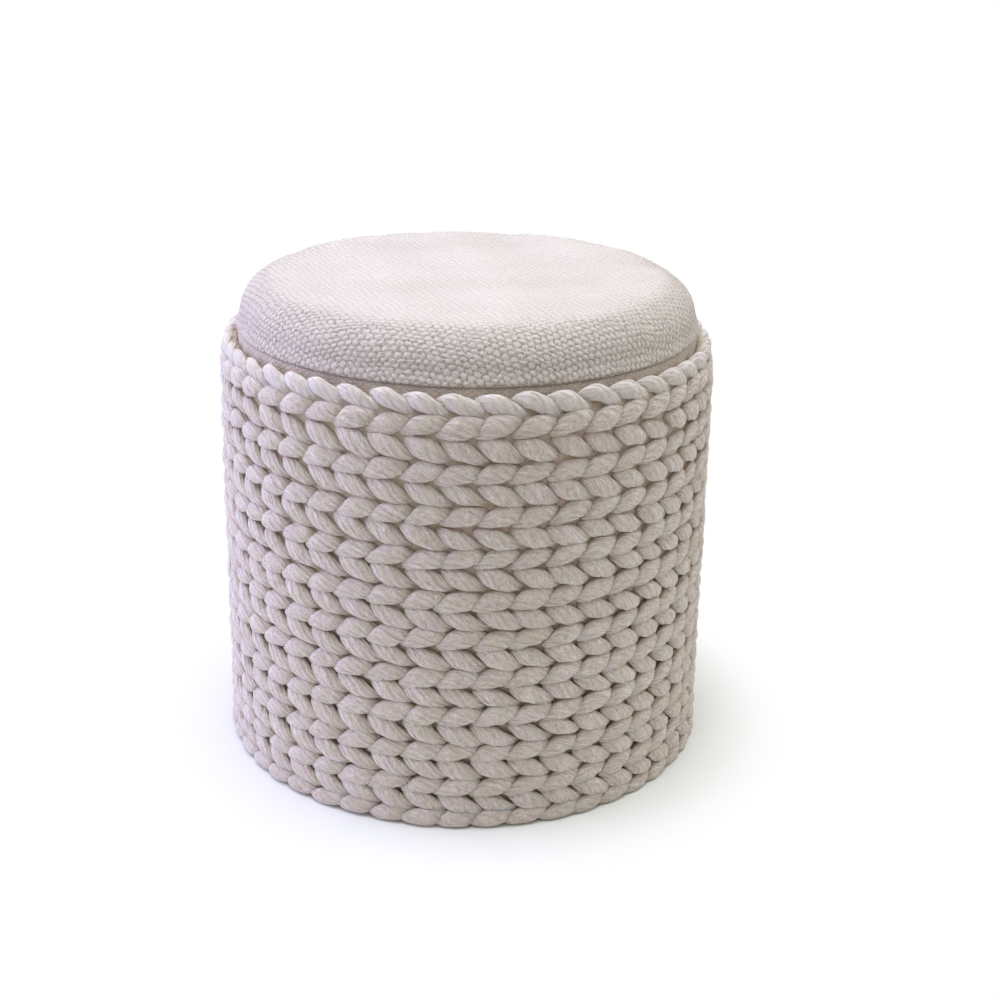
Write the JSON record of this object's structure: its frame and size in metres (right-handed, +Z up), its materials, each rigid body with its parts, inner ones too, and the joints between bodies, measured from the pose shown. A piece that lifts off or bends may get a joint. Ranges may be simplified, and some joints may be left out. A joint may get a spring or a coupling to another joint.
{
  "type": "storage ottoman",
  "caption": "Round storage pouf: a cloth-covered drum in a chunky knitted sleeve, with a padded basket-weave lid that lifts off.",
  "frame": {"origin": "middle of the base, on the floor", "axes": "+Z up along the drum's axis, out of its mouth; -Y is the front, where a new round of strands begins"},
  "size_m": [0.399, 0.4, 0.392],
  "materials": {
    "knit_yarn": "thick plied ecru yarn, matte and slightly fuzzy",
    "basket_cloth": "coarse natural basket weave with a few darker flecks, matte",
    "plain_cloth": "plain undyed cotton, matte"
  },
  "bodies": {
    "drum": {"drum_wall": "basket_cloth", "drum_base": "plain_cloth", "knit_cover": "knit_yarn"},
    "lid": {"lid_cushion": "basket_cloth", "lid_board": "plain_cloth"}
  },
  "joints": [
    {"name": "lid_lift", "type": "slide", "parent": "drum", "child": "lid", "axis": [0, 0, 1], "range_m": [0, 0.3]}
  ]
}
